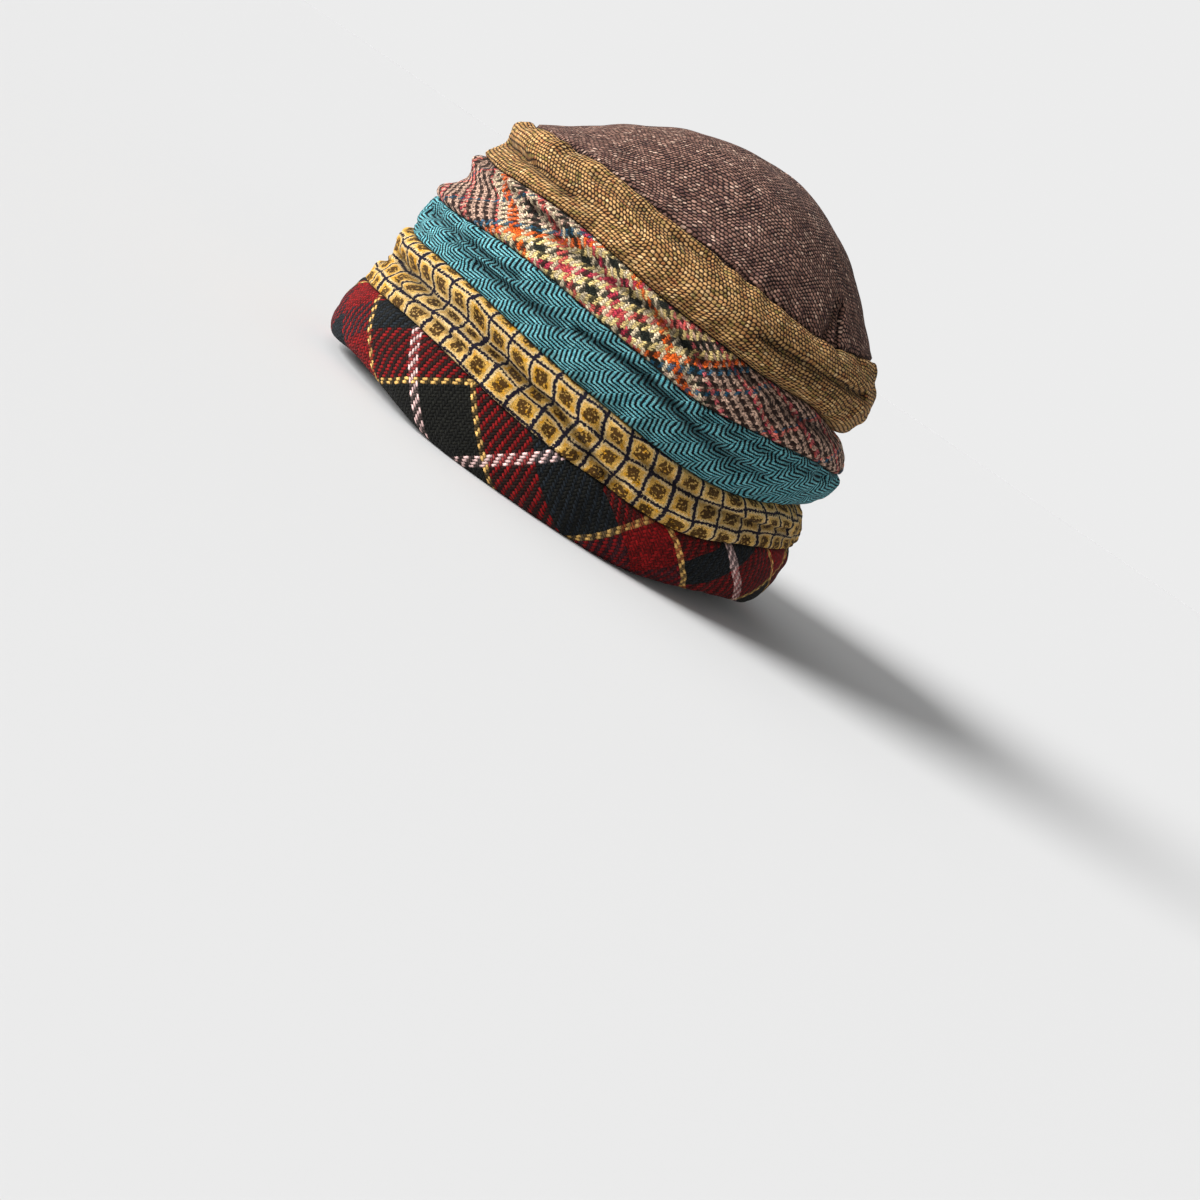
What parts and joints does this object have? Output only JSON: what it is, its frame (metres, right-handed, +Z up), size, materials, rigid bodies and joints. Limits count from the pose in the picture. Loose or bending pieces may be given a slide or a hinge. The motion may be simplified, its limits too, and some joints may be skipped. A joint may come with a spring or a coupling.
{
  "type": "patchwork tweed toque",
  "caption": "Soft hat of sewn wool bands under a domed crown, each band of another tweed, check or print, open below for the head.",
  "frame": {"origin": "middle of the rim, on the surface that the hat rests on", "axes": "+Z up through the crown, -Y towards the wearer's face, +X towards the wearer's left"},
  "size_m": [0.1704, 0.2146, 0.158],
  "materials": {
    "tartan_twill": "bias-cut wool twill in a dark red, navy and black-green tartan with yellow and white lines",
    "square_print": "wool with golden squares on a navy grid",
    "teal_herringbone": "bias-cut wool herringbone in light and dark teal",
    "check_tweed": "bias-cut wool gun-club check in cream and black-green with orange, blue and crimson lines",
    "tan_hopsack": "coarse ochre and brown wool hopsack",
    "plum_tweed": "coarse plum-brown wool tweed with pale flecks"
  },
  "bodies": {
    "root": {"hem_band": "tartan_twill", "print_band": "square_print", "herringbone_band": "teal_herringbone", "check_band": "check_tweed", "tan_band": "tan_hopsack", "crown": "plum_tweed"}
  },
  "joints": []
}
